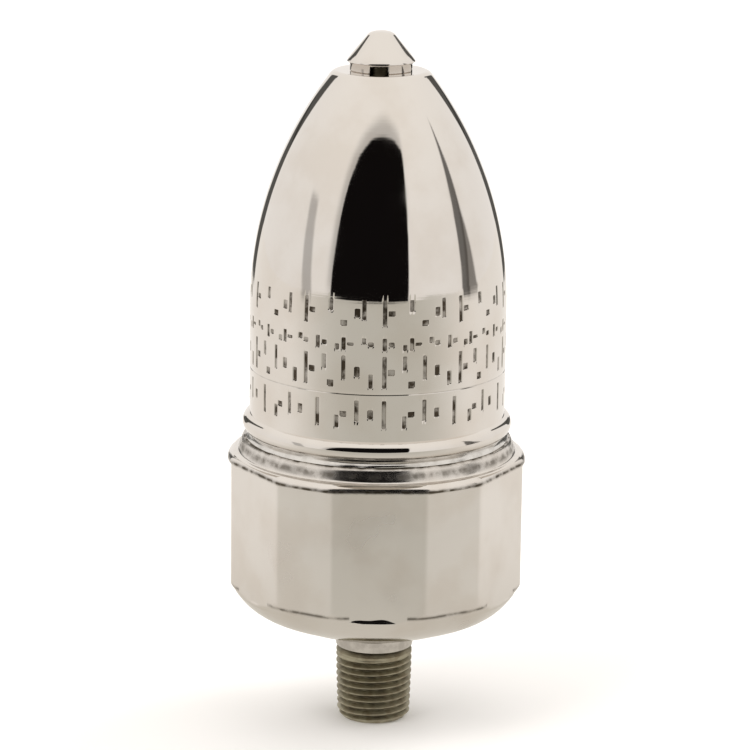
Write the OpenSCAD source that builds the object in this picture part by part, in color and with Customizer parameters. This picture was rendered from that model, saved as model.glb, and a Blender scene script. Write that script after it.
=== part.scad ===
// Automatic air vent for a steam radiator: a drawn bullet-shaped shell on a twelve-sided base,
// with a float, a diaphragm and a valve pin inside. +Z is up and the origin is the centre of
// the shank's lower end. Angles run from the -Y side, where one wide wrench flat faces.

/* [Shell] */
// Outer radius of the shell's straight wall
shell_r = 17.13; // [17:0.01:17.3]
// Thickness of the drawn sheet
shell_wall = 0.8; // [0.6:0.1:0.9]
// Radius of the curve that runs up to the nose
ogive_r = 50.8; // [50:0.1:52]
// Height at which the straight wall turns into that curve
ogive_z = 57.75; // [57:0.05:58.5]
// Height of the flat top that carries the outlet
shell_top = 89.05; // [88.8:0.05:89.3]
// Radius that rounds the edge of the flat top
nose_round = 1.2; // [0.8:0.1:1.5]
// Height of the middle of the rolled stop bead
bead_z = 41.6; // [41.4:0.1:41.8]
// Radius of the rolled bead's own section
bead_r = 1.35; // [1.2:0.05:1.4]
// Amount by which the bead stands out of the straight wall
bead_out = 0.92; // [0.8:0.02:1]

/* [Base cup] */
// Size across the six wide wrench flats
across_flats = 38.1; // [38:0.05:38.3]
// Size across the six narrow flats that take the corners off
across_corners = 39.02; // [38.9:0.02:39.1]
// Radius of the turned shoulder above the flats
shoulder_r = 20.05; // [20:0.01:20.1]
// Height of the lower edge of the flats
flats_low = 20.3; // [20.2:0.1:20.6]
// Height at which the narrow flats stop
flats_high = 36.4; // [36:0.1:36.8]
// Height of the cup's top face
cup_top = 39.6; // [39.4:0.05:39.7]
// Height of the lower end of the boss in the middle of the bowl
dish_low = 10.15; // [10:0.05:10.3]
// Radius of the foot of that boss, which has a little draft and takes the shank
boss_r = 5.2; // [5.15:0.05:5.3]
// Radius that rounds the lower edge of the flats
edge_round = 1.3; // [1.1:0.1:1.3]
// Radius that rounds the shoulder
shoulder_round = 1.3; // [1.2:0.1:1.4]

/* [Shank] */
// Radius of the brass blank that the taper thread is cut on
blank_r = 5.144; // [5.1:0.002:5.15]
// Radius of the thread's crest at the small end
thread_r = 4.96; // [4.95:0.01:5]
// Thread pitch, 27 turns to the inch
pitch = 0.9407; // [0.94:0.0001:0.941]
// Depth of the thread at its small end
thread_deep = 0.68; // [0.6:0.01:0.7]
// Radius of the bore that steam, air and water pass through
bore_r = 2.9; // [2.7:0.1:3]

/* [Valve] */
// Radius of the port that the pin closes
port_r = 0.8; // [0.7:0.05:0.9]
// Travel of the float from cold to shut
lift = 2.4; // [2.2:0.1:2.4]
// Gap that is left along the axis when the pin is up
shut_gap = 0.08; // [0.06:0.01:0.1]

/* [Float] */
// Outer radius of the float's tube
float_r = 14.2; // [14:0.05:14.3]
// Thickness of the float's sheet
float_wall = 0.4; // [0.3:0.05:0.5]
// Height of the top of the float's tube
tube_top = 57; // [56:0.5:57]
// Height of the float's domed head above the tube
head_rise = 12; // [11:0.5:12]

/* [Outlet] */
// Radius of the outlet cap's cone at its foot
cap_r = 4.5; // [4.4:0.05:4.6]
// Height of the top of the cap
cap_top = 94.25; // [94.1:0.05:94.4]
// Width of the four outlet slots
slot_w = 2.4; // [2.2:0.1:2.6]

/* [Hidden] */
$fn = 96;

// Gap between parts that slide into each other and are then soldered
slip = 0.02;
// Amount by which a cutter runs past a face
over = 1;

// Shell: the ogive's centre, the inner faces and the fillet at the nose
ogive_x = shell_r - ogive_r;
shell_in = shell_r - shell_wall;
bead_x = shell_r + bead_out - bead_r;
roof_z = shell_top - shell_wall;
nose_z = shell_top - nose_round;
nose_x = ogive_x + sqrt(pow(ogive_r - nose_round, 2) - pow(nose_z - ogive_z, 2));
nose_angle = atan2(nose_z - ogive_z, nose_x - ogive_x);
roof_angle = asin((roof_z - ogive_z) / (ogive_r - shell_wall));

// Base cup: its bore, the ledge that the float rest sits on, its floor and the sweep of its lip
cup_bore = shell_r + 0.07;
ledge_z = 22.25;
cup_in = 15.9;
floor_z = 14.9;
floor_r = 8.8;
dish_wall = 2;
shoulder_z = 36.4;
shoulder_end = 75;
lip_r = 17.75;
lip_sweep = [[18.8, 37.7], [18.62, 37.82], [18.5, 38.1], [18.2, 39], [18, 39.4], [lip_r, cup_top]];
neck_r = 4.4;
neck_hole = neck_r + 0.05;
boss_flare = [[boss_r + 0.1, 11.05], [5.42, 11.55], [5.7, 11.93], [6.15, 12.18]];
bowl = [
    [6.7, 12.33], [7.9, 12.67], [9.9, 13.27], [11.4, 13.78], [12.9, 14.37], [14.4, 14.95], [15.4, 15.33],
    [16.4, 15.8], [17.4, 16.5], [17.9, 16.95], [18.5, 17.6], [19, 18.25], [19.4, 18.95],
];
// Turned rim that stays proud at the foot of the wide flats
rim_r = 19.55;
rim_z = 19.15;
rim_slope = 0.53;
// Top of the wide flats: the cutter's nose rounds them over into the lip
nose_cut = 1.3;
nose_sweep = [[0.5, 1.15], [0.55, 1.75]];
rest_plate = 0.8;
shell_low = ledge_z + rest_plate;

// Shank: the flange on the cup's floor, and the thread
flange_r = 7.6;
flange_top = 16.3;
shank_chamfer = 0.75;
thread_end = 9.45;
turns = floor((thread_end - shank_chamfer) / pitch);
crest_half = 0.06;
root_half = 0.04;

// Float rest, foot and diaphragm
rest_floor = 19.2;
peg_r = 2;
drain_r = 2.2;
drain_x = 7.4;
rest_top = rest_floor + rest_plate;
foot_r = 3.2;
foot_top = 23.7;
sheet = 0.3;
edge_rise = 1;
plate_r = 4.2;
plate_t = 0.5;
rivet_r = 1.2;
ring_z = foot_top + edge_rise;
tube_low = ring_z + sheet;
ring_r = float_r + 0.6;
ring_top = tube_low + 2.2;

// Float head, collar and pin
head_r = float_r + slip + float_wall;
head_base = tube_top + 0.5;
head_flat = 3;
head_top = head_base + head_rise * sqrt(1 - pow(head_flat / head_r, 2));
collar_top = head_top + 3;
fill_x = 5.5;
fill_r = 0.8;

// Seat: a 60 degree cone that the pin's cone closes
flange_high = roof_z - 0.2;
flange_low = flange_high - 1;
nozzle_low = 84.75;
mouth_r = 1.6;
cone_run = 1 / tan(30);
port_z = nozzle_low + (mouth_r - port_r) * cone_run;
stem_r = 2.2;
stem_top = shell_top + 2.7;
port_top = shell_top + 0.95;
cross_z = shell_top + 0.5;

// Pin at rest, lift below its shut place
pin_r = 1;
pin_head_r = 1.5;
pilot_r = 0.4;
cone_low = port_z - (pin_head_r - port_r) * cone_run - shut_gap - lift;
cone_high = cone_low + (pin_head_r - pilot_r) * cone_run;
pilot_top = port_z + 0.16;

// Cap: skirt, cone and rounded tip
skirt_r = 4.2;
skirt_in = 3.2;
cap_foot = shell_top + 1.25;
tip_r = 1.75;
tip_z = 93.8;

// Points along an arc, in degrees from the +X side of its section
function arc_points(cx, cz, r, from, to, n) =
    [for (i = [0:n]) let (a = from + (to - from) * i / n) [cx + r * cos(a), cz + r * sin(a)]];

// Radius of the thread's crest and of its root at a height
function crest_at(z) = min(thread_r + (z - shank_chamfer) / 32, blank_r);
function root_at(z) = thread_r - thread_deep + (z - shank_chamfer) / 32;

// Height of the inside of the bowl at a radius
function bowl_in(r) = lookup(r, bowl) + dish_wall;

module turned() {
    rotate_extrude() children();
}

// A plain ring with square edges
module ring(inner, outer, low, high) {
    translate([0, 0, low])
        difference() {
            cylinder(r = outer, h = high - low);
            translate([0, 0, -over])
                cylinder(r = inner, h = high - low + 2 * over);
        }
}

// A narrow flat's cutter, with its face half the size across flats from the axis
module narrow_cutter(turn) {
    rotate([0, 0, turn])
        translate([-shoulder_r, -across_corners / 2 - 5, dish_low])
            cube([2 * shoulder_r, 5, flats_high - dish_low]);
}

// A wide flat's cutter, whose rounded nose turns the top of the flat in towards the lip
module wide_cutter(turn) {
    face = across_flats / 2;
    rim_in = face - 0.5;
    rim_top = rim_z + (rim_r - rim_in) / rim_slope;
    difference() {
        rotate([0, 0, turn])
            rotate([90, 0, 90])
                translate([0, 0, -shoulder_r])
                    linear_extrude(height = 2 * shoulder_r)
                        polygon(concat(
                            [[face + 5, dish_low], [face, dish_low]],
                            arc_points(face - nose_cut, flats_high, nose_cut, 0, 45, 4),
                            [for (p = nose_sweep) [face - p[0], flats_high + p[1]]],
                            [[face + 5, flats_high + 1.75]]
                        ));
        turned() polygon([
            [rim_in - 3, dish_low - over], [rim_r, dish_low - over], [rim_r, rim_z],
            [rim_in, rim_top], [rim_in - 3, rim_top],
        ]);
    }
}

// Drawn brass shell: straight wall, rolled stop bead, ogive nose and flat pierced top
module shell() {
    color("gainsboro") turned() difference() {
        union() {
            polygon(concat(
                [[shell_in, shell_low], [shell_r, shell_low]],
                arc_points(ogive_x, ogive_z, ogive_r, 0, nose_angle, 20),
                arc_points(nose_x, nose_z, nose_round, nose_angle, 90, 4),
                [[stem_r + 0.05, shell_top], [stem_r + 0.05, roof_z]],
                arc_points(ogive_x, ogive_z, ogive_r - shell_wall, roof_angle, 0, 20)
            ));
            intersection() {
                translate([bead_x, bead_z])
                    circle(r = bead_r, $fn = 48);
                translate([shell_in, bead_z - 2])
                    square([4, 4]);
            }
        }
        translate([bead_x, bead_z])
            circle(r = bead_r - shell_wall, $fn = 32);
    }
}

// Base cup: bored, dished below, with six wide and six narrow wrench flats
module base_cup() {
    color("gainsboro") difference() {
        turned() polygon(concat(
            [[neck_hole, floor_z], [neck_hole, dish_low], [boss_r - 0.15, dish_low], [boss_r, dish_low + 0.15]],
            boss_flare,
            bowl,
            arc_points(shoulder_r - edge_round, flats_low, edge_round, -35, 0, 4),
            arc_points(shoulder_r - shoulder_round, shoulder_z, shoulder_round, 0, shoulder_end, 6),
            lip_sweep,
            [[cup_bore, cup_top], [cup_bore, ledge_z], [cup_in, ledge_z]],
            [for (r = [cup_in, 14.5, 13, 11]) [r, bowl_in(r)]],
            [[floor_r, floor_z]]
        ));
        for (k = [0:5]) {
            wide_cutter(60 * k);
            narrow_cutter(60 * k + 30);
        }
    }
}

// Shank: flanged brass nipple with an outside taper thread, shown as rings at the thread's pitch
module shank() {
    color("darkkhaki") turned() polygon(concat(
        [[bore_r, 0.4], [bore_r + 0.4, 0], [thread_r - 0.66, 0]],
        [for (k = [0:turns - 1]) let (z = shank_chamfer + 0.1 + k * pitch) each [
            [crest_at(z - crest_half), z - crest_half], [crest_at(z + crest_half), z + crest_half],
            [root_at(z), z + pitch / 2 - root_half], [root_at(z), z + pitch / 2 + root_half],
        ]],
        [
            [blank_r, thread_end - 0.2], [blank_r, thread_end], [neck_r, dish_low - 0.1],
            [neck_r, floor_z], [flange_r, floor_z], [flange_r, flange_top],
            [bore_r + 0.6, flange_top], [bore_r, flange_top - 0.6],
        ]
    ));
}

// Solder fillet round the shank's flange on the cup's floor
module shank_solder() {
    color("silver") turned() polygon([
        [flange_r + slip, floor_z], [flange_r + 0.95, floor_z], [flange_r + 0.4, floor_z + 0.35],
        [flange_r + slip, floor_z + 0.95],
    ]);
}

// Solder that closes the seam under the shell's bead
module seam_solder() {
    color("silver") turned() polygon([
        [shell_r + slip, cup_top], [lip_r - 0.05, cup_top], [lip_r - 0.15, cup_top + 0.5],
        [shell_r + slip, cup_top + 0.7],
    ]);
}

// Pressed float rest: a pierced tray held between the cup's ledge and the shell's lower edge
module float_rest() {
    color("tan") difference() {
        turned() polygon([
            [peg_r + 0.05, rest_floor], [11.6, rest_floor], [14.9, ledge_z], [cup_bore - 0.05, ledge_z],
            [cup_bore - 0.05, shell_low], [14.6, shell_low], [11.3, rest_top], [peg_r + 0.05, rest_top],
        ]);
        for (k = [0:5])
            rotate([0, 0, 60 * k])
                translate([drain_x, 0, rest_floor - over])
                    cylinder(r = drain_r, h = rest_plate + 2 * over, $fn = 48);
    }
}

// Foot: turned button that stands in the rest and is riveted through the diaphragm
module foot_button() {
    color("goldenrod") turned() polygon([
        [0, rest_floor - 0.7], [peg_r - 0.3, rest_floor - 0.7], [peg_r, rest_floor - 0.4], [peg_r, rest_top],
        [foot_r, rest_top], [foot_r, foot_top], [rivet_r, foot_top],
        [rivet_r, foot_top + sheet + plate_t], [2, foot_top + sheet + plate_t],
        [1.7, foot_top + sheet + plate_t + 0.5], [0, foot_top + sheet + plate_t + 0.7],
    ]);
}

// Valve seat: flanged bush under the shell's top with a stem up through it
module valve_seat() {
    color("gold") difference() {
        turned() polygon([
            [mouth_r, nozzle_low], [2.4, nozzle_low], [2.6, nozzle_low + 0.2], [2.6, flange_low],
            [4.6, flange_low], [4.6, flange_high], [stem_r, flange_high], [stem_r, stem_top - 0.3],
            [stem_r - 0.3, stem_top], [0, stem_top], [0, port_top], [port_r, port_top],
            [port_r, port_z],
        ]);
        rotate([0, 0, 45])
            for (turn = [0, 90])
                rotate([0, 0, turn])
                    translate([0, 0, cross_z])
                        rotate([90, 0, 0])
                            cylinder(r = 0.6, h = 3 * stem_r, center = true, $fn = 32);
    }
}

// Soft washer that seals the seat's flange against the shell
module seat_washer() {
    color("dimgray") ring(stem_r + 0.05, 4.6, flange_high, roof_z);
}

// Outlet cap: cone on a slotted skirt, pressed on the seat's stem
module outlet_cap() {
    color("gainsboro") difference() {
        turned() polygon(concat(
            [
                [skirt_in, shell_top], [skirt_r, shell_top], [skirt_r, cap_foot - 0.15],
                [cap_r, cap_foot - 0.05], [cap_r, cap_foot + 0.1],
            ],
            [[tip_r, tip_z], [1.2, 94.1], [0.6, cap_top - 0.03], [0, cap_top]],
            [[0, stem_top + 0.1], [stem_r + slip, stem_top + 0.1], [stem_r + slip, cap_foot],
             [skirt_in, cap_foot - 0.1]]
        ));
        rotate([0, 0, -5.5])
            for (turn = [0, 90])
                rotate([0, 0, turn])
                    translate([-slot_w / 2, -cap_r - over, shell_top - over])
                        cube([slot_w, 2 * (cap_r + over), over + 0.95]);
    }
}

// Float tube: the thin straight wall of the sealed float
module float_tube() {
    color("peru") ring(float_r - float_wall, float_r, tube_low, tube_top);
}

// Float head: drawn dome with a short skirt over the tube
module float_head() {
    color("peru") difference() {
        turned() polygon(concat(
            [[float_r + slip, tube_top - 1.5], [head_r, tube_top - 1.5]],
            [for (i = [0:14]) let (a = acos(head_flat / head_r) * i / 14)
                [head_r * cos(a), head_base + head_rise * sin(a)]],
            [[pin_r + slip, head_top], [pin_r + slip, head_top - float_wall]],
            [for (i = [14:-1:0]) let (a = acos(head_flat / head_r) * i / 14)
                [(head_r - float_wall) * cos(a), head_base + (head_rise - float_wall) * sin(a)]]
        ));
        translate([fill_x, 0, head_base])
            cylinder(r = fill_r + slip, h = head_rise + over, $fn = 32);
    }
}

// Solder under the head's skirt
module head_solder() {
    color("silver") turned() polygon([
        [float_r + slip, tube_top - 2.1], [head_r, tube_top - 1.5], [float_r + slip, tube_top - 1.5],
    ]);
}

// Diaphragm: thin stepped disc, low in the middle, that closes the float's bottom
module diaphragm() {
    steps = [[rivet_r + 0.05, 0], [4.6, 0], [5.6, 0.3], [7.8, 0.35], [8.8, 0.65], [11, 0.7], [12, 1], [float_r, 1]];
    last = len(steps) - 1;
    color("burlywood") turned() polygon(concat(
        [for (p = steps) [p[0], foot_top + p[1] * edge_rise]],
        [for (i = [last:-1:0]) [steps[i][0], foot_top + sheet + steps[i][1] * edge_rise]]
    ));
}

// Ring that clamps the diaphragm's edge to the tube
module diaphragm_ring() {
    color("goldenrod") turned() polygon([
        [12.9, ring_z - 0.4], [ring_r - 0.2, ring_z - 0.4], [ring_r, ring_z - 0.2], [ring_r, ring_top],
        [float_r + slip, ring_top], [float_r + slip, ring_z], [12.9, ring_z],
    ]);
}

// Solder above the clamping ring
module ring_solder() {
    color("silver") turned() polygon([
        [float_r + slip, ring_top], [ring_r - 0.1, ring_top], [float_r + slip, ring_top + 0.6],
    ]);
}

// Stiffening plate over the middle of the diaphragm
module diaphragm_plate() {
    color("goldenrod") ring(rivet_r + 0.05, plate_r, foot_top + sheet, foot_top + sheet + plate_t);
}

// Collar soldered on the float's head that holds the pin
module pin_collar() {
    color("gold") turned() polygon([
        [pin_r + slip, head_top], [2.8, head_top], [2.8, head_top + 0.8], [2, head_top + 1.2],
        [2, collar_top - 0.3], [1.7, collar_top], [pin_r + slip, collar_top],
    ]);
}

// Valve pin: stem, cone that closes the port, and a pilot that stays in it
module valve_pin() {
    color("lightsteelblue") turned() polygon([
        [0, head_top - float_wall], [pin_r, head_top - float_wall], [pin_r, cone_low - 1.3],
        [pin_head_r, cone_low - 0.8], [pin_head_r, cone_low], [pilot_r, cone_high],
        [pilot_r, pilot_top - 0.15], [pilot_r - 0.15, pilot_top], [0, pilot_top],
    ]);
}

// Soldered plug that closes the hole the float is filled through
module fill_plug() {
    color("silver") translate([fill_x, 0, 0]) turned() polygon([
        [0, 67.2], [fill_r, 67.2], [fill_r, 69.6], [0.6, 69.95], [0, 70.1],
    ]);
}

shell();
base_cup();
shank();
shank_solder();
seam_solder();
float_rest();
foot_button();
valve_seat();
seat_washer();
outlet_cap();
float_tube();
float_head();
head_solder();
diaphragm();
diaphragm_ring();
ring_solder();
diaphragm_plate();
pin_collar();
valve_pin();
fill_plug();
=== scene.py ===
import math

import bpy
import numpy as np
from mathutils import Matrix, Vector


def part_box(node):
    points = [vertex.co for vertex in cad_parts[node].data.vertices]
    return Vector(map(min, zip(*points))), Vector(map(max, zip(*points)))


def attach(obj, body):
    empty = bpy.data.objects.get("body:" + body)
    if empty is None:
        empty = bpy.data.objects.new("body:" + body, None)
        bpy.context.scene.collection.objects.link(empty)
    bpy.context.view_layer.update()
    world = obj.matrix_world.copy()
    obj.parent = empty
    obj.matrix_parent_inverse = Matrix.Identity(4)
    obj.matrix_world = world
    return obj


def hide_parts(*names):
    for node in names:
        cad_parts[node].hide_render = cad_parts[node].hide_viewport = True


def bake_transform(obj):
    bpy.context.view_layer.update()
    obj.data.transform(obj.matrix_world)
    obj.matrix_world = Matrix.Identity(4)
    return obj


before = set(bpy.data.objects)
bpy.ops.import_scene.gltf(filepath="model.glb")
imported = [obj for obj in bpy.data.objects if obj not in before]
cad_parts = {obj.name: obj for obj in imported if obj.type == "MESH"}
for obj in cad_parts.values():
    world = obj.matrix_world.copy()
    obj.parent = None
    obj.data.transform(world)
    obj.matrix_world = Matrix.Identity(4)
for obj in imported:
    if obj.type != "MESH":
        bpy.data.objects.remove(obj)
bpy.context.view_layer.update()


# Shell
# Drawn brass sheet, nickel plated and polished to a mirror: a straight wall, a rolled stop bead low
# down, a bullet nose and a flat top. Rows of plain strokes are stamped round it above the bead.
MM = 0.001


def reach(node):
    """A turned piece's foot, top and largest radius in the frame, in millimetres."""
    low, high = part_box(node)
    return low.z / MM, high.z / MM, high.x / MM


def arc(x, z, radius, start, end, steps):
    """Points on an arc of a turned outline. Angles are in degrees: 0 points outwards, 90 points up."""
    turns = np.radians(np.linspace(start, end, steps + 1))
    return [(x + radius * math.cos(a), z + radius * math.sin(a)) for a in turns]


def stretch(low, high, step):
    """Evenly spaced numbers from low up to, but not including, high."""
    count = max(1, round((high - low) / step))
    return [low + (high - low) * k / count for k in range(count)]


def soft_max(a, b, blend):
    """The larger of two numbers or arrays, with the corner between them rounded off."""
    near = np.maximum(blend - np.abs(a - b), 0) / blend
    return np.maximum(a, b) + near * near * blend / 4


def soft_min(a, b, blend):
    """The smaller of two numbers or arrays, with the corner between them rounded off."""
    return -soft_max(-a, -b, blend)


def step_between(low, high, value):
    """0 below low, 1 above high, and a smooth rise between them."""
    t = np.clip((value - low) / (high - low), 0, 1)
    return t * t * (3 - 2 * t)


def lathe(name, outline, columns, reshape=None, marks=None):
    """A turned piece: a closed outline of (radius, height) in mm, carried round the axis.

    columns are angles in degrees from the front (-Y) towards +X. reshape(radius, height, angle)
    presses flats or grooves into it. marks(radius, height, angle) gives each point's dirt and
    painted shade, 0 to 1.
    """
    angle = np.asarray(columns, float)[:, None]
    radius, height = np.array(outline, float).T[:, None, :] + 0 * angle[None]
    dirt_and_shade = marks(radius, height, angle) if marks else np.zeros_like(radius)
    if reshape:
        radius = reshape(radius, height, angle)
    turn = np.radians(angle)
    points = np.stack([radius * np.sin(turn), -radius * np.cos(turn), height], -1)
    count, rows = radius.shape
    i, j = np.arange(count)[:, None], np.arange(rows)[None, :]
    across, up = (i + 1) % count, (j + 1) % rows
    faces = np.stack([i * rows + j, across * rows + j, across * rows + up, i * rows + up], -1)
    mesh = bpy.data.meshes.new(name)
    mesh.from_pydata((points.reshape(-1, 3) * MM).tolist(), [], faces.reshape(-1, 4).tolist())
    mesh.attributes.new("dirt_and_shade", "FLOAT", "POINT").data.foreach_set("value", dirt_and_shade.ravel().astype("f"))
    piece = bpy.data.objects.new(name, mesh)
    bpy.context.scene.collection.objects.link(piece)
    return piece


def smooth(piece, sharp=50):
    """Smooth shading with weighted normals, so flats stay flat and only true edges stay sharp."""
    piece.data.polygons.foreach_set("use_smooth", [True] * len(piece.data.polygons))
    piece.data.set_sharp_from_angle(angle=math.radians(sharp))
    weights = piece.modifiers.new("weighted normals", "WEIGHTED_NORMAL")
    weights.keep_sharp = True
    weights.weight = 80


foot, top, bead_reach = reach("shell")
WALL = 0.8
BEAD_PROUD = 0.92
shell_r = bead_reach - BEAD_PROUD
BEAD_R = 1.35
bead_x = bead_reach - BEAD_R
bead_z = top - 47.45
OGIVE_R = 50.8
ogive_x = shell_r - OGIVE_R
ogive_z = top - 31.3
NOSE_ROUND = 1.2
nose_z = top - NOSE_ROUND
nose_x = ogive_x + math.sqrt((OGIVE_R - NOSE_ROUND) ** 2 - (nose_z - ogive_z) ** 2)
nose_turn = math.degrees(math.atan2(nose_z - ogive_z, nose_x - ogive_x))
STEM_HOLE = 2.25

# Each row of stamped strokes: its lower edge, its upper edge, and a repeating run of strokes. Each
# stroke is a share of the row's height and half its width as a share of its cell. None is a gap.
ring_line = top - 39.8
STROKE_CELL = 3.0
STAMP_DEPTH = 0.15
full = (0, 1, 0.24)
tall = (0.25, 1, 0.22)
low_half = (0, 0.42, 0.26)
high_half = (0.58, 1, 0.26)
dot = (0.36, 0.66, 0.32)
dash = (0.42, 0.58, 0.42)
low_dash = (0, 0.18, 0.42)
STAMPED_ROWS = [
    (ring_line + 9.1, ring_line + 12.4,
     [full, dash, None, None, high_half, None, low_dash, None, dot, tall, None, None]),
    (ring_line + 5.9, ring_line + 7.4,
     [full, dot, None, low_half, full, dash, None, high_half, dot, None]),
    (ring_line + 0.9, ring_line + 5.0,
     [full, dash, None, high_half, low_dash, None, tall, None, dot, None, low_half, None]),
    (ring_line - 4.5, ring_line - 0.9,
     [full, None, None, low_half, dash, None, tall, None, dot, None, None]),
]
# The sloping sides of a stroke: its ends in mm, and its edges as a share of its cell
SLOPE = 0.09
SIDE_SLOPE = 0.08
RING_LINE_HALF = 0.12
RING_LINE_DEEP = 0.3


def across_stroke(angle, half_width):
    """How far a stroke is pressed in across its width: 1 over its flat floor, 0 outside it."""
    across = np.abs(angle / STROKE_CELL % 1 - 0.5)
    return 1 - np.clip((across - half_width) / SIDE_SLOPE, 0, 1)


def stamping(radius, height, angle):
    """Depth of the stamped marks at a point, from 0 to 1."""
    cell = np.floor(angle / STROKE_CELL).astype(int) + 0 * height.astype(int)
    depth = np.zeros_like(height)
    for low, high, run in STAMPED_ROWS:
        for k, stroke in enumerate(run):
            if stroke is None:
                continue
            start, end = (low + (high - low) * share for share in stroke[:2])
            along = np.clip((height - start) / SLOPE + 1, 0, 1) * np.clip((end - height) / SLOPE + 1, 0, 1)
            depth = np.maximum(depth, (cell % len(run) == k) * along * across_stroke(angle, stroke[2]))
    line = 1 - np.clip(np.abs(height - ring_line) / RING_LINE_HALF, 0, 1)
    outside = radius > shell_r - WALL / 2
    return np.maximum(depth, RING_LINE_DEEP * line) * outside


stamp_heights = {ring_line + share * RING_LINE_HALF for share in (-1, -0.5, 0, 0.5, 1)}
for low, high, run in STAMPED_ROWS:
    for share in {share for stroke in run if stroke for share in stroke[:2]}:
        edge = low + (high - low) * share
        stamp_heights |= {edge - SLOPE, edge, edge + SLOPE}
band_top = ring_line + 13
stamp_heights |= set(stretch(bead_z + 2, band_top, 0.7))


def wall_reach(z):
    """The outer radius of the shell at a height, with the bead rolled out of the straight wall."""
    bulge = bead_x + math.sqrt(max(BEAD_R**2 - (z - bead_z) ** 2, 0))
    straight = shell_r
    if z > ogive_z:
        straight = ogive_x + math.sqrt(OGIVE_R**2 - (z - ogive_z) ** 2)
    return float(soft_max(straight, bulge if abs(z - bead_z) < BEAD_R else 0, 0.12))


band_turn = math.degrees(math.asin((band_top - ogive_z) / OGIVE_R))
shell_outline = [(shell_r, z) for z in (foot, foot + 8, bead_z - 2.4)]
shell_outline += [(wall_reach(z), z) for z in stretch(bead_z - 1.9, bead_z + 2, 0.07)]
shell_outline += [(wall_reach(z), z) for z in sorted(stamp_heights)]
shell_outline += arc(ogive_x, ogive_z, OGIVE_R, band_turn + 0.3, nose_turn, 70)
shell_outline += arc(nose_x, nose_z, NOSE_ROUND, nose_turn, 90, 14)[1:]
shell_outline += [(4.3, top), (3.1, top), (STEM_HOLE, top), (STEM_HOLE, top - WALL)]
roof_turn = math.degrees(math.asin((top - WALL - ogive_z) / (OGIVE_R - WALL)))
shell_outline += arc(ogive_x, ogive_z, OGIVE_R - WALL, roof_turn, 0, 30)
shell_outline += arc(bead_x, bead_z, BEAD_R - WALL, 90, -90, 16)
shell_outline += [(shell_r - WALL, foot)]

COLUMN_SHARES = (0, 0.08, 0.19, 0.27, 0.5, 0.73, 0.81, 0.92)
stroke_columns = [
    (cell + share) * STROKE_CELL for cell in range(round(360 / STROKE_CELL)) for share in COLUMN_SHARES]
# The stamps' depth also darkens them with polish residue and painted shade, in the strokes and the ring
# line.
shell = lathe(
    "shell_drawn", shell_outline, stroke_columns,
    reshape=lambda r, z, a: r - STAMP_DEPTH * stamping(r, z, a), marks=stamping)
smooth(shell)


def node(tree, kind, inputs=None, **options):
    """Adds a shader node. inputs gives its sockets a number, a colour or another node's output."""
    made = tree.nodes.new(kind)
    for name, value in options.items():
        setattr(made, name, value)
    for name, value in (inputs or {}).items():
        if isinstance(value, bpy.types.NodeSocket):
            tree.links.new(value, made.inputs[name])
        else:
            made.inputs[name].default_value = value
    return made


def math_node(tree, operation, first, second=0.0):
    """One sum of two numbers or outputs."""
    return node(tree, "ShaderNodeMath", {0: first, 1: second}, operation=operation).outputs[0]


def ramp(tree, value, low, high, to_low=0.0, to_high=1.0):
    """Turns a value between low and high into one between to_low and to_high."""
    sockets = {"Value": value, "From Min": low, "From Max": high, "To Min": to_low, "To Max": to_high}
    return node(tree, "ShaderNodeMapRange", sockets, interpolation_type="SMOOTHSTEP").outputs[0]


def effect(name, inputs, outputs):
    """A new shader node group with named number inputs. Returns its tree, inputs and outputs."""
    tree = bpy.data.node_groups.new(name, "ShaderNodeTree")
    for label, value in inputs.items():
        socket = tree.interface.new_socket(label, in_out="INPUT", socket_type="NodeSocketFloat")
        socket.default_value = value
    for label, kind in outputs.items():
        tree.interface.new_socket(label, in_out="OUTPUT", socket_type=kind)
    return tree, tree.nodes.new("NodeGroupInput").outputs, tree.nodes.new("NodeGroupOutput").inputs


def use(tree, name, **inputs):
    """Places an effect in a material and gives its inputs values. Underscores stand for spaces."""
    placed = tree.nodes.new("ShaderNodeGroup")
    placed.node_tree = bpy.data.node_groups[name]
    for label, value in inputs.items():
        placed.inputs[label.replace("_", " ")].default_value = value
    return placed.outputs


def noise(tree, scale, detail=3.0, stretch_to=(1, 1, 1)):
    """Noise in the piece's own space. scale is in grains per metre."""
    where = tree.nodes.new("ShaderNodeTexCoord").outputs["Object"]
    scaled = node(tree, "ShaderNodeMapping", {"Vector": where, "Scale": stretch_to}).outputs[0]
    return node(tree, "ShaderNodeTexNoise", {"Vector": scaled, "Scale": scale, "Detail": detail}).outputs[0]


# Buffing: hazy smears from handling, and the fine rings that a buffing wheel leaves round the piece
SMEAR_GRAIN = 130
RIPPLE_GRAIN = 260
RIPPLE_DEEP = 0.0002
RING_GRAIN = (40, 40, 5200)
RING_DEEP = 0.00002
tree, given, out = effect(
    "buffing", {"Clean": 0.04, "Hazy": 0.12, "Ring Strength": 0.1, "Ripple": 0.1},
    {"Roughness": "NodeSocketFloat", "Normal": "NodeSocketVector"})
smears = ramp(tree, noise(tree, SMEAR_GRAIN, 5), 0.45, 0.75)
rings = noise(tree, 1, 2, RING_GRAIN)
blend = node(tree, "ShaderNodeMix", {"Factor": smears, "A": given["Clean"], "B": given["Hazy"]})
tree.links.new(blend.outputs[0], out["Roughness"])
ripple = node(tree, "ShaderNodeBump", {
    "Strength": given["Ripple"], "Distance": RIPPLE_DEEP, "Height": noise(tree, RIPPLE_GRAIN, 1)})
fine = node(tree, "ShaderNodeBump", {
    "Strength": given["Ring Strength"], "Distance": RING_DEEP, "Height": rings, "Normal": ripple.outputs[0]})
tree.links.new(fine.outputs[0], out["Normal"])
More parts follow.
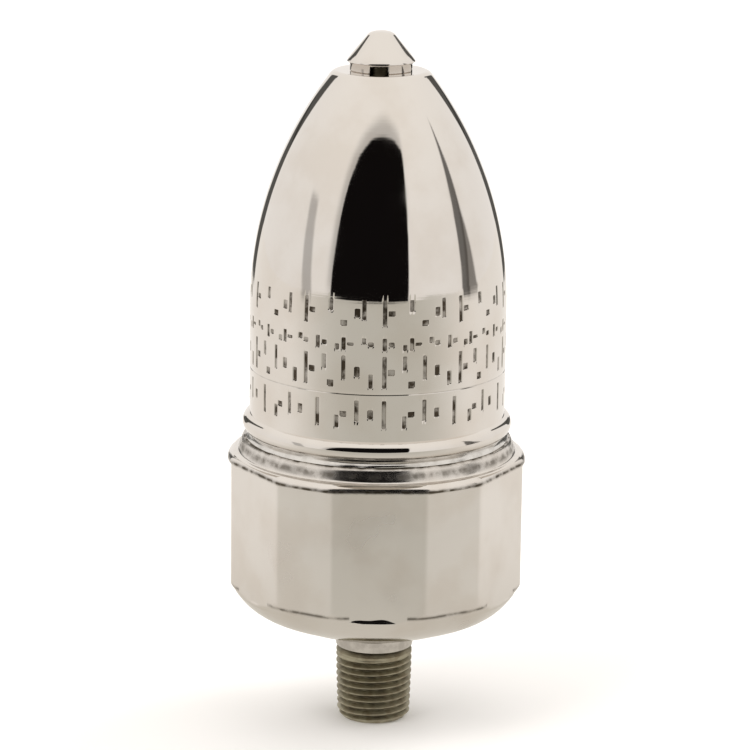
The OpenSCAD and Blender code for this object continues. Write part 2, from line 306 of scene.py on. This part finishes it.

# Grime and painted shade: darkening in stamped marks, corners and thread roots, broken up by noise
GRIME_GRAIN = 700
tree, given, out = effect("grime_and_painted_shade", {"Amount": 1.0, "Patchiness": 0.65}, {"Mask": "NodeSocketFloat"})
marked_dirt_and_shade = node(tree, "ShaderNodeAttribute", attribute_name="dirt_and_shade").outputs["Fac"]
patches = ramp(tree, noise(tree, GRIME_GRAIN, 3), 0.35, 0.65)
broken = node(tree, "ShaderNodeMix", {"Factor": given["Patchiness"], "A": 1.0, "B": patches}).outputs[0]
grime_and_shade_mask = math_node(tree, "MULTIPLY", math_node(tree, "MULTIPLY", marked_dirt_and_shade, broken), given["Amount"])
tree.links.new(grime_and_shade_mask, out["Mask"])


def colour_mix(tree, share, first, second):
    """A blend of two colours."""
    made = node(tree, "ShaderNodeMix", data_type="RGBA")
    for place, value in ((0, share), (6, first), (7, second)):
        if isinstance(value, bpy.types.NodeSocket):
            tree.links.new(value, made.inputs[place])
        else:
            made.inputs[place].default_value = value if place == 0 else (*value, 1)
    return made.outputs[2]


DIRT_ROUGH = 0.28


def metal(name, bright, worn, dirt_and_shade, dirt_and_shade_amount=1.0, patch_scale=120, **buffing):
    """A bare or plated metal: two tones in patches, grime and painted shade in its corners, and its own
    buffing.
    """
    material = bpy.data.materials.new(name)
    material.use_nodes = True
    tree = material.node_tree
    surface = tree.nodes["Principled BSDF"]
    surface.inputs["Metallic"].default_value = 1.0
    tone = colour_mix(tree, ramp(tree, noise(tree, patch_scale, 4), 0.4, 0.68), bright, worn)
    mask = use(tree, "grime_and_painted_shade", Amount=dirt_and_shade_amount)["Mask"]
    tree.links.new(colour_mix(tree, mask, tone, dirt_and_shade), surface.inputs["Base Color"])
    finish = use(tree, "buffing", **buffing)
    rough = math_node(tree, "ADD", finish["Roughness"], math_node(tree, "MULTIPLY", mask, DIRT_ROUGH))
    tree.links.new(rough, surface.inputs["Roughness"])
    tree.links.new(finish["Normal"], surface.inputs["Normal"])
    return material


NICKEL = (0.70, 0.665, 0.625)
WARM_NICKEL = (0.66, 0.615, 0.565)
# Polish residue and painted shade that darken the stamped marks
POLISH_RESIDUE_AND_SHADE = (0.07, 0.055, 0.04)
plated_shell = metal(
    "nickel_plated_shell", NICKEL, WARM_NICKEL, POLISH_RESIDUE_AND_SHADE, 1.1,
    Clean=0.035, Hazy=0.09, Ring_Strength=0.08, Ripple=0.05)
shell.data.materials.append(plated_shell)
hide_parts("shell")
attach(shell, "housing")


# Base cup
# Turned and milled brass, plated like the shell: a dished bottom, six wide and six narrow wrench
# flats with buffed edges, a round shoulder and a lip that takes the shell.
shoulder_foot, cup_top, shoulder_r = reach("base_cup")
# Distances of the flats from the axis. In the frame a rim stands proud at the foot of the wide ones
RIM_PROUD = 0.5
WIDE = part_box("base_cup")[1].y / MM - RIM_PROUD
NARROW = 19.51
FLATS_TOP = cup_top - 3.2
EDGE_LOW = cup_top - 19.3
# One radius rounds the shoulder, the edge under the flats and the tops of the wide flats
ROUND = 1.3
# Everything on the cup's outside is further from the axis than this
SKIN_R = 17.3
# The lowest that the wrench flats' cutters reach
CUTTER_LOW = 17.0
rest_seat = cup_top - 17.35
cup_in = 15.9
cup_bore = shell_r + 0.07
cup_floor = cup_top - 24.7
BOWL_WALL = 2.0
NECK_HOLE = 4.45
BOSS_R = 5.2
BOSS_TOP = 12.2
BOSS_FILLET = 1.15
# The pressed bowl under the flats, from the boss in its middle out to the rim: radius and height
BOWL = [
    (6.7, 12.33), (7.9, 12.67), (9.9, 13.27), (11.4, 13.78), (12.9, 14.37), (14.4, 14.95), (15.4, 15.33),
    (16.4, 15.8), (17.4, 16.5), (17.9, 16.95), (18.5, 17.6), (19, 18.25), (19.4, 18.95),
]
# The wide flats' faces roll over at the top, and leave the lip above them whole: height, and how far
# the face stands back
ROLLED_FLAT = [(FLATS_TOP, 0)] + [
    (FLATS_TOP + ROUND * math.sin(a), ROUND - ROUND * math.cos(a))
    for a in np.radians((8, 16, 24, 32, 40, 45))]
ROLLED_FLAT += [(FLATS_TOP + 1.0, 0.5), (FLATS_TOP + 1.1, 0.58), (FLATS_TOP + 1.2, -3)]
# The hollow sweep from the shoulder up to the lip's rounded edge: radius and height
LIP_SWEEP = [
    (18.95, 37.67), (18.82, 37.7), (18.71, 37.76), (18.62, 37.85), (18.56, 37.97), (18.5, 38.15),
    (18.41, 38.4), (18.31, 38.7), (18.21, 39), (18.13, 39.2), (18.02, 39.4), (17.87, 39.54),
]
# The flared rim at the foot of the wide flats, tallest a few degrees left of the front
RIM_Z = 18.25
RIM_TOP = (19.815, 19.554)
FLARE = 0.34
TALLEST = -3
TALL_HALF = 8


def bowl(r):
    """Height of the outside of the bowl at a radius, with the bends between its points eased."""
    radii, heights = zip(*BOWL)
    around = [np.interp(r + step, radii, heights) for step in (-0.5, -0.25, 0, 0.25, 0.5)]
    return float(np.dot(around, (0.1, 0.2, 0.4, 0.2, 0.1)))


def from_flat(angle, first):
    """Angle in radians from the middle of the nearest of six flats, the first at a given angle."""
    return np.radians(np.abs((angle - first + 30) % 60 - 30))


def milled(radius, height, angle):
    """The turned outline cut by the wide flats, and by the narrow ones below the shoulder."""
    rolled = np.interp(height, *zip(*ROLLED_FLAT))
    wide = (WIDE - rolled) / np.cos(from_flat(angle, 0))
    narrow = NARROW / np.cos(from_flat(angle, 30))
    narrow = narrow + 1.5 * step_between(FLATS_TOP, FLATS_TOP + 0.35, height)
    cut = soft_min(soft_min(radius, wide, 0.25), narrow, 0.14)
    off_tallest = (angle - TALLEST + 180) % 360 - 180
    rise = 0.55 + 0.6 * np.exp(-((off_tallest / TALL_HALF) ** 4)) + 0.12 * np.sin(np.radians(23 * angle))
    flare = FLARE * np.maximum(0, RIM_Z + rise - height)
    cut = np.minimum(cut + flare, radius)
    return np.where((radius > SKIN_R) & (height > CUTTER_LOW), cut, radius)


# The crease above the flats and the groove under the lip are painted shade, and the broken dark line above
# the flats' rim is a painted reflection. The seam at the lip holds polish residue, and round the boss it is
# darker.
def cup_shade_and_residue(radius, height, angle):
    """Painted shade above the flats and under the lip, a painted reflection above their rim, residue at the
    lip.
    """
    crease = np.exp(-((height - FLATS_TOP - 0.3) / 0.22) ** 2)
    groove = 0.7 * np.exp(-((height - cup_top + 1.05) / 0.5) ** 2)
    lip = np.exp(-((height - cup_top) / 0.2) ** 2)
    rim = 0.7 * np.exp(-((height - RIM_Z - 1.3) / 0.2) ** 2) * (np.cos(6 * np.radians(angle)) < 0.4)
    boss = 0.25 * (height < BOSS_TOP)
    return np.where(radius > SKIN_R, np.max([crease, lip, groove, rim], 0), boss)


cup_outline = [(NECK_HOLE, cup_floor), (NECK_HOLE, shoulder_foot + 0.1), (NECK_HOLE + 0.1, shoulder_foot)]
cup_outline += [(BOSS_R - 0.12, shoulder_foot), (BOSS_R, shoulder_foot + 0.12), (BOSS_R + 0.05, 10.65)]
cup_outline += arc(BOSS_R + 0.1 + BOSS_FILLET, 11.08, BOSS_FILLET, 180, 106, 12)
cup_outline += [(r, bowl(r)) for r in stretch(6.7, 17, 0.5) + stretch(17, 19.2, 0.1)]
cup_outline += [tuple(low + (high - low) * t for low, high in zip(BOWL[-1], RIM_TOP))
                for t in stretch(-0.2, 1, 0.1)]
cup_outline += arc(shoulder_r - ROUND, EDGE_LOW, ROUND, -35, 0, 18)
cup_outline += [(shoulder_r, z) for z in stretch(EDGE_LOW + 0.3, FLATS_TOP - 0.4, 1.2)]
cup_outline += [(shoulder_r, z) for z in stretch(FLATS_TOP - 0.2, FLATS_TOP, 0.05)]
cup_outline += arc(shoulder_r - ROUND, FLATS_TOP, ROUND, 0, 75, 26)
cup_outline += LIP_SWEEP
cup_outline += [(17.75, cup_top), (cup_bore, cup_top), (cup_bore, rest_seat), (cup_in, rest_seat)]
cup_outline += [(r, bowl(r) + BOWL_WALL) for r in (cup_in, 14.5, 13, 12, 11)]
cup_outline += [(8.8, cup_floor)]

# Columns for one half of each 60 degree sector, closer together where a wide flat meets a narrow one
CORNER_HALF = 1.6
corner_turn = math.degrees(math.atan2(NARROW - WIDE * math.cos(math.radians(30)), WIDE * 0.5))
corner_start, corner_end = corner_turn - CORNER_HALF, corner_turn + CORNER_HALF
half_sector = np.array(
    stretch(0, corner_start, 0.5) + stretch(corner_start, corner_end, 0.16) + stretch(corner_end, 30, 0.5))
other_half = 60 - np.append(half_sector[1:], 30)[::-1]
cup_columns = np.concatenate([60 * k + half for k in range(6) for half in (half_sector, other_half)])
base_cup = lathe("base_cup_milled", cup_outline, cup_columns, reshape=milled, marks=cup_shade_and_residue)
smooth(base_cup, 60)
# Painted shade and painted reflection in the cup's crease, groove and rim line, and polish residue at the
# lip
CUP_SHADE_AND_RESIDUE = (0.09, 0.075, 0.055)
plated_cup = metal(
    "nickel_plated_cup", NICKEL, WARM_NICKEL, CUP_SHADE_AND_RESIDUE, 1.2,
    Clean=0.14, Hazy=0.30, Ring_Strength=0.0, Ripple=0.0)
base_cup.data.materials.append(plated_cup)
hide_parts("base_cup")
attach(base_cup, "housing")


# Shank
# A brass nipple, left unplated: a 1/8-27 taper pipe thread, a plain neck through the cup's floor and
# a flange soldered on it. Its thread is dull and brown, with old oil and painted shade in the roots.
shank_top, flange_r = reach("shank")[1:]
PITCH = 0.9407
BLANK_R = 5.144
SMALL_R = 4.96
THREAD_DEEP = 0.68
THREAD_END = 9.45
NECK_R = 4.4
BORE_R = 2.9
FLANGE_THICK = 1.4
CHAMFER = 0.75


def full_crest(height):
    """Radius of a sharp crest. The thread grows 1 in 16 in width, so 1 in 32 in radius."""
    return SMALL_R + (height - CHAMFER) / 32


def thread(radius, height, angle):
    """Cuts the right-handed taper thread into the outside of the blank."""
    crest = np.minimum(full_crest(height), BLANK_R)
    phase = (height / PITCH - angle / 360) % 1
    # 1 on a crest's narrow flat, and a straight fall from there to the root
    ridge = np.clip(1.12 - np.abs(phase - 0.5) * 2.24, 0.06, 1)
    cut = soft_min(full_crest(height) - THREAD_DEEP * (1 - ridge), crest, 0.05)
    fade = step_between(THREAD_END - 0.9, THREAD_END - 0.1, height)
    cut = cut + (crest - cut) * fade
    # The chamfer at the lower end
    cut = soft_min(cut, SMALL_R - 0.7 + height * 0.95, 0.08)
    on_thread = (radius > BLANK_R - 0.01) & (height < THREAD_END + 0.01)
    return np.where(on_thread, cut, radius)


def thread_oil_and_shade(radius, height, angle):
    """Old oil and painted shade, deepest in the thread's roots."""
    crest = np.minimum(full_crest(height), BLANK_R)
    deep = np.clip((crest - thread(radius, height, angle)) / THREAD_DEEP, 0, 1)
    return np.where(radius > NECK_R - 0.05, deep, 0.2)


shank_outline = [(BORE_R, 0.4), (BORE_R + 0.4, 0), (SMALL_R - 0.8, 0)]
shank_outline += [(BLANK_R, z) for z in stretch(0.02, THREAD_END, PITCH / 18)]
shank_outline += [(BLANK_R, THREAD_END), (4.8, 9.75), (NECK_R, 10.05), (NECK_R, 13.6)]
shank_outline += [(NECK_R, shank_top - FLANGE_THICK)]
shank_outline += [(flange_r - 0.1, shank_top - FLANGE_THICK), (flange_r, shank_top - FLANGE_THICK + 0.1)]
shank_outline += [(flange_r, shank_top - 0.15), (flange_r - 0.15, shank_top), (BORE_R + 0.6, shank_top)]
shank_outline += [(BORE_R, shank_top - 0.6)]
shank = lathe("shank_threaded", shank_outline, stretch(0, 360, 2), reshape=thread, marks=thread_oil_and_shade)
smooth(shank, 40)
# The dark tone in the thread's roots is old oil and painted shade.
dull_brass = metal(
    "dull_thread_brass", (0.42, 0.39, 0.29), (0.32, 0.28, 0.20), (0.08, 0.07, 0.05), 0.55, 900,
    Clean=0.45, Hazy=0.62, Ring_Strength=0.3, Ripple=0.4)
shank.data.materials.append(dull_brass)
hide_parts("shank")
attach(shank, "housing")


# Seam solder
# Tin solder run hot into the seam between the shell's bead and the cup's lip, which it seals. It has
# set with a slightly uneven edge.
seam_low, seam_high, seam_r = reach("seam_solder")


def uneven(radius, height, angle):
    """Lets the solder's face swell and sink a little round the seam."""
    turn = np.radians(angle)
    swell = 0.05 * np.sin(5 * turn + 1) + 0.035 * np.sin(13 * turn) + 0.02 * np.sin(29 * turn + 2)
    return radius + np.where(radius > shell_r + 0.1, swell * (height > seam_low + 0.05), 0)


seam_outline = [
    (shell_r + 0.02, seam_low), (seam_r - 0.06, seam_low), (seam_r - 0.1, seam_low + 0.12),
    (seam_r - 0.2, seam_low + 0.32), (seam_r - 0.36, seam_low + 0.5), (shell_r + 0.02, seam_high),
]
seam = lathe("seam_solder_run", seam_outline, stretch(0, 360, 1.5), reshape=uneven)
smooth(seam, 60)
tin_solder = metal(
    "tin_solder", (0.68, 0.66, 0.63), (0.52, 0.50, 0.47), (0.1, 0.09, 0.08), 1.0, 500,
    Clean=0.18, Hazy=0.34, Ring_Strength=0.0, Ripple=0.4)
seam.data.materials.append(tin_solder)
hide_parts("seam_solder")
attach(seam, "housing")


# Outlet cap
# A plated cone on a short skirt, pressed on the seat's stem. Four slots cut through the skirt let
# the air out under the cone.
cap_low, cap_high, cap_r = reach("outlet_cap")
SKIRT_R = 4.2
SKIRT_IN = 3.2
STEM_R = 2.22
SLOT_W = 2.4
SLOT_H = 0.95
SLOT_TURN = -5.5
cap_foot = cap_low + 1.25
stem_roof = cap_low + 2.8
cap_outline = [(SKIRT_IN, cap_low), (SKIRT_R - 0.1, cap_low), (SKIRT_R, cap_low + 0.1)]
cap_outline += [(SKIRT_R, cap_foot - 0.22), (SKIRT_R + 0.05, cap_foot - 0.14)]
cap_outline += [(cap_r - 0.07, cap_foot - 0.1), (cap_r, cap_foot - 0.03), (cap_r, cap_foot + 0.06)]
cap_outline += [(cap_r - 0.05, cap_foot + 0.16)]
cone_foot = (cap_r, cap_foot + 0.16)
cone_end = (1.86, cap_high - 0.57)
cap_outline += [tuple(low + (high - low) * t for low, high in zip(cone_foot, cone_end))
                for t in (0.25, 0.5, 0.75, 0.95)]
# The blunt tip: radius, and how far below the top
TIP = [
    (1.9, 0.62), (1.78, 0.47), (1.6, 0.32), (1.35, 0.21), (1.0, 0.1), (0.6, 0.03), (0.2, 0), (0.001, 0),
]
cap_outline += [(r, cap_high - drop) for r, drop in TIP]
cap_outline += [(0.001, stem_roof), (STEM_R, stem_roof), (STEM_R, cap_foot), (SKIRT_IN, cap_foot - 0.1)]
cap = lathe("outlet_cap_slotted", cap_outline, stretch(0, 360, 2.5))


def bar(name, low, high, turn):
    """A long box through the axis, used as a cutter, with its corners given in mm before turning."""
    wide, deep, tall = zip(low, high)
    corners = [Vector((x, y, z)) * MM for x in wide for y in deep for z in tall]
    sides = [(0, 1, 3, 2), (4, 6, 7, 5), (0, 4, 5, 1), (2, 3, 7, 6), (0, 2, 6, 4), (1, 5, 7, 3)]
    mesh = bpy.data.meshes.new(name)
    mesh.from_pydata(corners, [], sides)
    mesh.transform(Matrix.Rotation(math.radians(turn), 4, "Z"))
    cutter = bpy.data.objects.new(name, mesh)
    bpy.context.scene.collection.objects.link(cutter)
    return cutter


def carve(piece, cutters):
    """Cuts the cutters out of a piece, keeps the result as its mesh, and removes the cutters."""
    for cutter in cutters:
        cut = piece.modifiers.new("cut", "BOOLEAN")
        cut.object = cutter
        cut.solver = "EXACT"
    edges = piece.modifiers.new("edges", "BEVEL")
    edges.width = 0.05 * MM
    edges.segments = 2
    edges.angle_limit = math.radians(50)
    piece.data = bpy.data.meshes.new_from_object(piece.evaluated_get(bpy.context.evaluated_depsgraph_get()))
    piece.modifiers.clear()
    for cutter in cutters:
        bpy.data.objects.remove(cutter)


slot_low = (-SLOT_W / 2, -cap_r - 1, cap_low - 1)
slot_high = (SLOT_W / 2, cap_r + 1, cap_low + SLOT_H)
carve(cap, [bar(f"slot_{turn}", slot_low, slot_high, SLOT_TURN + turn) for turn in (0, 90)])
smooth(cap, 35)
plated_cap = metal(
    "nickel_plated_cap", NICKEL, WARM_NICKEL, POLISH_RESIDUE_AND_SHADE, 0.8,
    Clean=0.07, Hazy=0.16, Ring_Strength=0.15, Ripple=0.05)
cap.data.materials.append(plated_cap)
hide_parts("outlet_cap")
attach(cap, "housing")


# Diaphragm
# Rolled phosphor bronze, pressed in steps. Its middle stays riveted on the foot while its edge
# rises with the float, so it bends between the two.
foot_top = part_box("diaphragm")[0].z / MM
SHEET = 0.3
edge_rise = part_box("diaphragm")[1].z / MM - foot_top - SHEET
diaphragm_r = reach("diaphragm")[2]
STEPS = [(1.25, 0), (4.6, 0), (5.6, 0.3), (7.8, 0.35), (8.8, 0.65), (11, 0.7), (12, 1), (diaphragm_r, 1)]
radii = stretch(STEPS[0][0], diaphragm_r, 0.2) + [diaphragm_r]
rises = np.interp(radii, [r for r, _ in STEPS], [rise * edge_rise for _, rise in STEPS])
rises = np.convolve(np.pad(rises, 1, mode="edge"), (0.25, 0.5, 0.25), mode="valid")
disc_outline = [(r, foot_top + rise) for r, rise in zip(radii, rises)]
disc_outline += [(r, z + SHEET) for r, z in disc_outline[::-1]]
diaphragm = lathe("diaphragm_pressed", disc_outline, stretch(0, 360, 3))
smooth(diaphragm)
bronze = metal(
    "phosphor_bronze", (0.62, 0.34, 0.18), (0.5, 0.25, 0.12), (0.1, 0.05, 0.03), 0.5, 200,
    Clean=0.22, Hazy=0.34, Ring_Strength=0.2, Ripple=0.1)
diaphragm.data.materials.append(bronze)
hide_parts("diaphragm")
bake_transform(diaphragm)


# Inner pieces
# Turned, pressed and soldered parts that keep their frame shape: the float's thin brass walls, the
# valve seat and its pin, the rest and its foot. Each takes the finish it has from its maker.
turned_brass = metal(
    "turned_brass", (0.74, 0.52, 0.22), (0.62, 0.42, 0.17), (0.2, 0.12, 0.05), 0.5, 300,
    Clean=0.16, Hazy=0.26, Ring_Strength=0.8, Ripple=0.0)
sheet_brass = metal(
    "pressed_sheet_brass", (0.7, 0.47, 0.2), (0.55, 0.36, 0.15), (0.2, 0.12, 0.05), 0.5, 160,
    Clean=0.18, Hazy=0.36, Ring_Strength=0.0, Ripple=0.3)
float_brass = metal(
    "drawn_float_brass", (0.6, 0.36, 0.16), (0.48, 0.27, 0.12), (0.2, 0.12, 0.05), 0.5, 90,
    Clean=0.24, Hazy=0.4, Ring_Strength=0.35, Ripple=0.2)
steel = metal(
    "ground_stainless", (0.55, 0.54, 0.52), (0.48, 0.47, 0.45), (0.2, 0.2, 0.2), 0.5, 400,
    Clean=0.14, Hazy=0.22, Ring_Strength=0.6, Ripple=0.0)
rubber = bpy.data.materials.new("black_rubber")
rubber.use_nodes = True
tree = rubber.node_tree
rubber_surface = tree.nodes["Principled BSDF"]
worn_black = colour_mix(tree, noise(tree, 900, 4), (0.018, 0.018, 0.017), (0.045, 0.043, 0.04))
tree.links.new(worn_black, rubber_surface.inputs["Base Color"])
tree.links.new(ramp(tree, noise(tree, 2500, 2), 0.3, 0.7, 0.5, 0.75), rubber_surface.inputs["Roughness"])

INNER_FINISH = {
    "foot_button": turned_brass, "valve_seat": dull_brass, "diaphragm_ring": turned_brass,
    "diaphragm_plate": turned_brass, "pin_collar": turned_brass, "float_rest": sheet_brass,
    "float_tube": float_brass, "float_head": float_brass, "valve_pin": steel, "seat_washer": rubber,
    "shank_solder": tin_solder, "head_solder": tin_solder, "ring_solder": tin_solder,
    "fill_plug": tin_solder,
}
for name, finish in INNER_FINISH.items():
    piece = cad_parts[name]
    if not piece.material_slots:
        piece.data.materials.append(finish)
    for place in piece.material_slots:
        place.material = finish


# Floor, light and camera
# A plain pale table top under a white tent, with one dark opening in front for the camera, which
# the polished shell mirrors as a black shape. In the polish the table top is a painted reflection that
# glows.
TABLE_HALF = 0.8
table_corners = [
    (across * TABLE_HALF, along * TABLE_HALF, 0) for across, along in ((-1, -1), (1, -1), (1, 1), (-1, 1))]
mesh = bpy.data.meshes.new("table_top")
mesh.from_pydata(table_corners, [], [(0, 1, 2, 3)])
floor = bpy.data.objects.new("table_top", mesh)
bpy.context.scene.collection.objects.link(floor)
paper = bpy.data.materials.new("pale_paper")
paper.use_nodes = True
tree = paper.node_tree
paper_surface = tree.nodes["Principled BSDF"]
paper_surface.inputs["Roughness"].default_value = 0.85
paper_surface.inputs["Specular IOR Level"].default_value = 0.2
where = tree.nodes.new("ShaderNodeTexCoord").outputs["Object"]
toward_back = node(tree, "ShaderNodeSeparateXYZ", {0: where}).outputs["Y"]


def towards(azimuth, elevation):
    """A direction: azimuth in degrees from the front (-Y) towards +X, elevation above the horizon."""
    a, e = math.radians(azimuth), math.radians(elevation)
    return Vector((math.sin(a) * math.cos(e), -math.cos(a) * math.cos(e), math.sin(e)))


def dark_patch(tree, direction, corners, softness):
    """A mask for a patch of the surroundings, as seen from the vent.

    Its corners are (azimuth, elevation), going up one side and down the other with rising azimuth.
    """
    mask = None
    ends = [towards(*corner) for corner in corners]
    for k, start in enumerate(ends):
        side = ends[(k + 1) % len(ends)].cross(start).normalized()
        inward = node(tree, "ShaderNodeVectorMath", {0: direction, 1: side}, operation="DOT_PRODUCT")
        edge = ramp(tree, inward.outputs["Value"], -softness, softness)
        mask = edge if mask is None else math_node(tree, "MULTIPLY", mask, edge)
    return mask


# Dark things round the table, which the shell mirrors, dark in the tent's light and painted onto the
# table's painted reflection as well: corners, softness, strength, colour
BACK_STAND = (0.03, 0.03, 0.025)
LOW_PATCHES = [
    # A dark streak on the right with a fainter one beside it, and a grey strip on the left
    ([(79, -6), (79, 14), (88, 37.5), (92.5, 37.5), (89.5, 14), (91, -6)], 0.02, 0.9, (0.10, 0.095, 0.09)),
    ([(84, -6), (87, 18), (91, 10), (98, -6)], 0.03, 0.8, (0.12, 0.11, 0.10)),
    ([(-73, -6), (-80, 20), (-70, 20), (-63, -6)], 0.025, 0.46, (0.10, 0.10, 0.10)),
    # Soft shade round the opening
    ([(-48, -2), (-47, 20), (-41, 38), (-15, 52), (15, 53), (34, 43), (24, 10), (22, -2)],
     0.07, 0.40, (0.03, 0.03, 0.03)),
    # Two leaning stands behind the vent, which draw its dark outline
    ([(-163, -10), (-158, 7), (-145, 7), (-149, -10)], 0.012, 0.92, BACK_STAND),
    ([(-158, 5), (-139, 31), (-131, 28), (-146, 5)], 0.012, 0.92, BACK_STAND),
    ([(149, -10), (145, 7), (158, 7), (163, -10)], 0.012, 0.92, BACK_STAND),
    ([(146, 5), (131, 28), (139, 31), (158, 5)], 0.012, 0.92, BACK_STAND),
]
# Directions over the table are taken from this height on the vent
EYE_HEIGHT = 0.06
from_vent = node(tree, "ShaderNodeVectorMath", {0: where, 1: (0, 0, EYE_HEIGHT)}, operation="SUBTRACT")
floor_way = node(tree, "ShaderNodeVectorMath", {0: from_vent.outputs[0]}, operation="NORMALIZE").outputs[0]
PAPER_NEAR = (0.95, 0.95, 0.95)
PAPER_FAR = (0.94, 0.935, 0.93)
lit = colour_mix(tree, ramp(tree, toward_back, -0.16, 0.03), PAPER_NEAR, PAPER_FAR)
# Painted reflection: mirrored rays see the table glow in these colours instead of lit paper, with painted
# shade greyer in front and right under the vent, and the dark patches painted onto it
PAINTED_REFLECTION_FRONT = (0.66, 0.64, 0.58)
PAINTED_REFLECTION_BACK = (1.03, 0.99, 0.94)
PAINTED_REFLECTION_UNDER = (0.76, 0.72, 0.65)
way = node(tree, "ShaderNodeSeparateXYZ", {0: floor_way}).outputs
painted_reflection = colour_mix(tree, ramp(tree, way["Y"], -0.97, 0.0), PAINTED_REFLECTION_FRONT, PAINTED_REFLECTION_BACK)
painted_reflection = colour_mix(tree, ramp(tree, way["Z"], -0.9, -0.4), PAINTED_REFLECTION_UNDER, painted_reflection)
for corners, softness, strength, colour in LOW_PATCHES:
    patch = dark_patch(tree, floor_way, corners, softness)
    painted_reflection = colour_mix(tree, math_node(tree, "MULTIPLY", patch, strength), painted_reflection, colour)
tree.links.new(lit, paper_surface.inputs["Base Color"])
# The painted reflection glows for mirrored rays only; the camera sees the lit paper.
painted_reflection_glow = node(tree, "ShaderNodeEmission", {"Color": painted_reflection}).outputs[0]
in_mirror = tree.nodes.new("ShaderNodeLightPath").outputs["Is Glossy Ray"]
both_looks = {0: in_mirror, 1: paper_surface.outputs[0], 2: painted_reflection_glow}
seen_floor = node(tree, "ShaderNodeMixShader", both_looks).outputs[0]
# The table top is one-sided, so the vent can be looked at from below through it
underside = tree.nodes.new("ShaderNodeNewGeometry").outputs["Backfacing"]
clear = tree.nodes.new("ShaderNodeBsdfTransparent").outputs[0]
one_sided = node(tree, "ShaderNodeMixShader", {0: underside, 1: seen_floor, 2: clear}).outputs[0]
tree.links.new(one_sided, tree.nodes["Material Output"].inputs["Surface"])
floor.data.materials.append(paper)

world = bpy.data.worlds.new("tent")
bpy.context.scene.world = world
world.use_nodes = True
tree = world.node_tree
sky_way = tree.nodes.new("ShaderNodeTexCoord").outputs["Generated"]
TENT_FOOT = (1.04, 1.01, 0.98)
TENT_ROOF = (1.12, 1.08, 1.03)
height_up = node(tree, "ShaderNodeSeparateXYZ", {0: sky_way}).outputs["Z"]
tent = colour_mix(tree, ramp(tree, height_up, 0.0, 0.9), TENT_FOOT, TENT_ROOF)
opening_edge = [
    (-45, -14), (-44, 5), (-42, 18), (-38, 31), (-30, 40), (-15, 46), (2, 47.5), (20, 45.5), (30, 41),
    (24, -14),
]
OPENING = (opening_edge, 0.01, 1.0, (0.006, 0.005, 0.005))
for corners, softness, strength, colour in [*LOW_PATCHES, OPENING]:
    patch = dark_patch(tree, sky_way, corners, softness)
    tent = colour_mix(tree, math_node(tree, "MULTIPLY", patch, strength), tent, colour)
seen = tree.nodes.new("ShaderNodeLightPath").outputs["Is Camera Ray"]
WHITE = (1, 1, 1)
backdrop = colour_mix(tree, seen, tent, WHITE)
tree.links.new(backdrop, tree.nodes["Background"].inputs["Color"])


def softbox(name, place, target, size, power, colour):
    """A square area light that faces a point."""
    lamp = bpy.data.lights.new(name, "AREA")
    lamp.size, lamp.energy, lamp.color = size, power, colour
    light = bpy.data.objects.new(name, lamp)
    light.location = place
    light.rotation_euler = (Vector(target) - Vector(place)).to_track_quat("-Z", "Y").to_euler()
    light.visible_glossy = False
    bpy.context.scene.collection.objects.link(light)


middle = (0, 0, 0.045)
softbox("key", (-0.7, -0.5, 0.9), middle, 0.7, 6, (1, 0.97, 0.94))
softbox("fill", (0.8, 0.3, 0.8), middle, 0.7, 5, (1, 0.98, 0.96))

CAMERA_FAR = 0.480
CAMERA_UP = 13.7
CAMERA_TURN = -1.5
CAMERA_ROLL = 0.7
CAMERA_ASIDE = 0.00032
target = Vector((0, 0, 0.04776))
back = towards(CAMERA_TURN, CAMERA_UP)
right = Vector((0, 0, 1)).cross(back).normalized()
up = back.cross(right)
roll = math.radians(CAMERA_ROLL)
side = right * math.cos(roll) + up * math.sin(roll)
over = up * math.cos(roll) - right * math.sin(roll)
camera = bpy.data.objects.new("camera", bpy.data.cameras.new("camera"))
camera.data.lens = 171.8
camera.data.sensor_width = 36
camera.data.clip_start = 0.02
view = Matrix((side, over, back)).transposed().to_4x4()
view.translation = target + back * CAMERA_FAR - side * CAMERA_ASIDE
camera.matrix_world = view
bpy.context.scene.collection.objects.link(camera)
bpy.context.scene.camera = camera
bpy.context.scene.view_settings.view_transform = "Standard"
